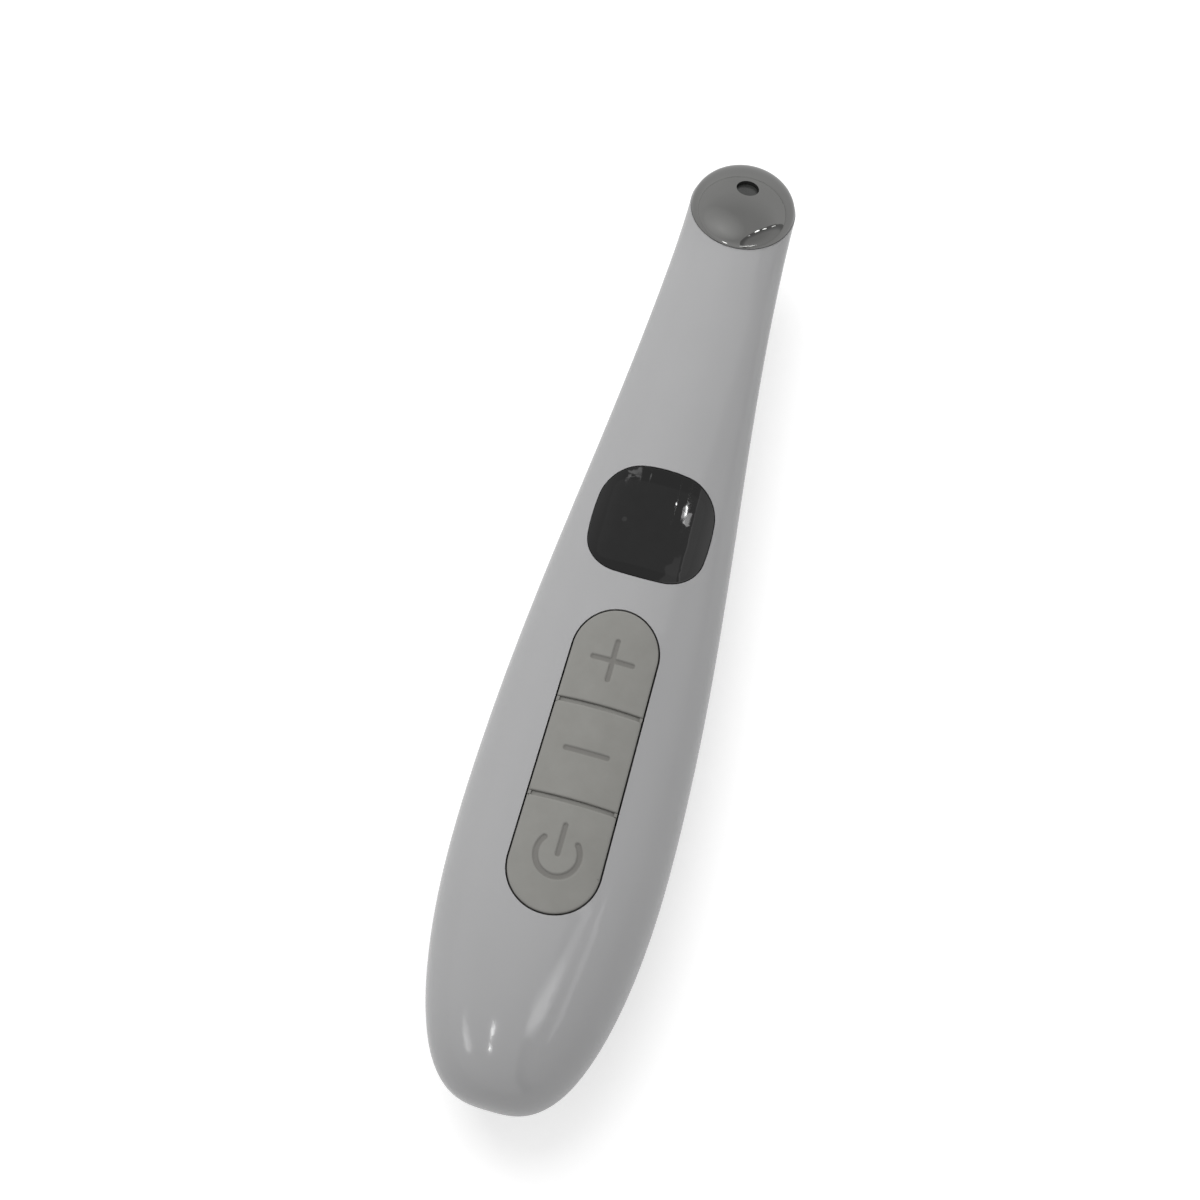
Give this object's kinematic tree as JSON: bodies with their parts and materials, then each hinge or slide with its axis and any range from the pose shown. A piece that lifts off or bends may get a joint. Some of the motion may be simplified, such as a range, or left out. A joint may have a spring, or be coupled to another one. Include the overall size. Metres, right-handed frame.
{
  "type": "ultrasonic facial cleansing device",
  "caption": "Slim handheld facial cleansing wand: rounded pale grey handle with a grey key field and dark window, long neck and an oblique metal cap with a round light hole.",
  "frame": {"origin": "on the surface that the belly rests on, under the middle of the device's bounding box", "axes": "+Y from the tail to the head, +Z out of the key face, +X across, to the right when the keys face the viewer and the head points up"},
  "size_m": [0.037, 0.175, 0.0313],
  "materials": {
    "housing": "glossy pale grey shell",
    "cap_metal": "polished",
    "soft_black": "matte",
    "ceramic": "matte",
    "clear": "clear",
    "board": "satin",
    "lamp": "glossy",
    "gold": "satin",
    "key_soft": "soft matte",
    "dark_plastic": "matte",
    "steel": "satin",
    "lens": "glossy, smoked",
    "panel": "glossy",
    "cell": "satin sleeve",
    "foam": "matte foam",
    "lead": "matte",
    "coil": "enamelled wire",
    "key_grey": "soft-touch, matte",
    "stem": "matte"
  },
  "bodies": {
    "handle": {"front_housing": "housing", "back_housing": "housing", "head_cap": "cap_metal", "head_seal": "soft_black", "transducer_ring": "ceramic", "light_guide": "clear", "head_board": "board", "head_lamp": "lamp", "transducer_contacts": "gold", "keypad_mat": "key_soft", "switch_bodies": "dark_plastic", "main_board": "board", "board_screws": "steel", "display_lens": "lens", "display_gasket": "soft_black", "display_panel": "panel", "display_holder": "dark_plastic", "display_pins": "gold", "battery_cell": "cell", "battery_foam": "foam", "battery_leads": "lead", "head_leads": "lead", "charge_leads": "lead", "charge_socket": "steel", "charge_tongue": "dark_plastic", "charge_board": "board", "charge_screws": "steel", "drive_coil": "coil", "control_chip": "dark_plastic", "timing_crystal": "steel", "board_capacitors": "ceramic", "lead_connector": "dark_plastic"},
    "power_key": {"key_power": "key_grey", "stem_power": "stem"},
    "minus_key": {"key_minus": "key_grey", "stem_minus": "stem"},
    "plus_key": {"key_plus": "key_grey", "stem_plus": "stem"}
  },
  "joints": [
    {"name": "key_power_press", "type": "slide", "parent": "handle", "child": "power_key", "axis": [0, -0.0349, -0.9994], "range_m": [0, 0.00025], "stiffness_N_per_m": 1500},
    {"name": "key_minus_press", "type": "slide", "parent": "handle", "child": "minus_key", "axis": [0, -0.0349, -0.9994], "range_m": [0, 0.00025], "stiffness_N_per_m": 1500},
    {"name": "key_plus_press", "type": "slide", "parent": "handle", "child": "plus_key", "axis": [0, -0.0349, -0.9994], "range_m": [0, 0.00025], "stiffness_N_per_m": 1500}
  ]
}
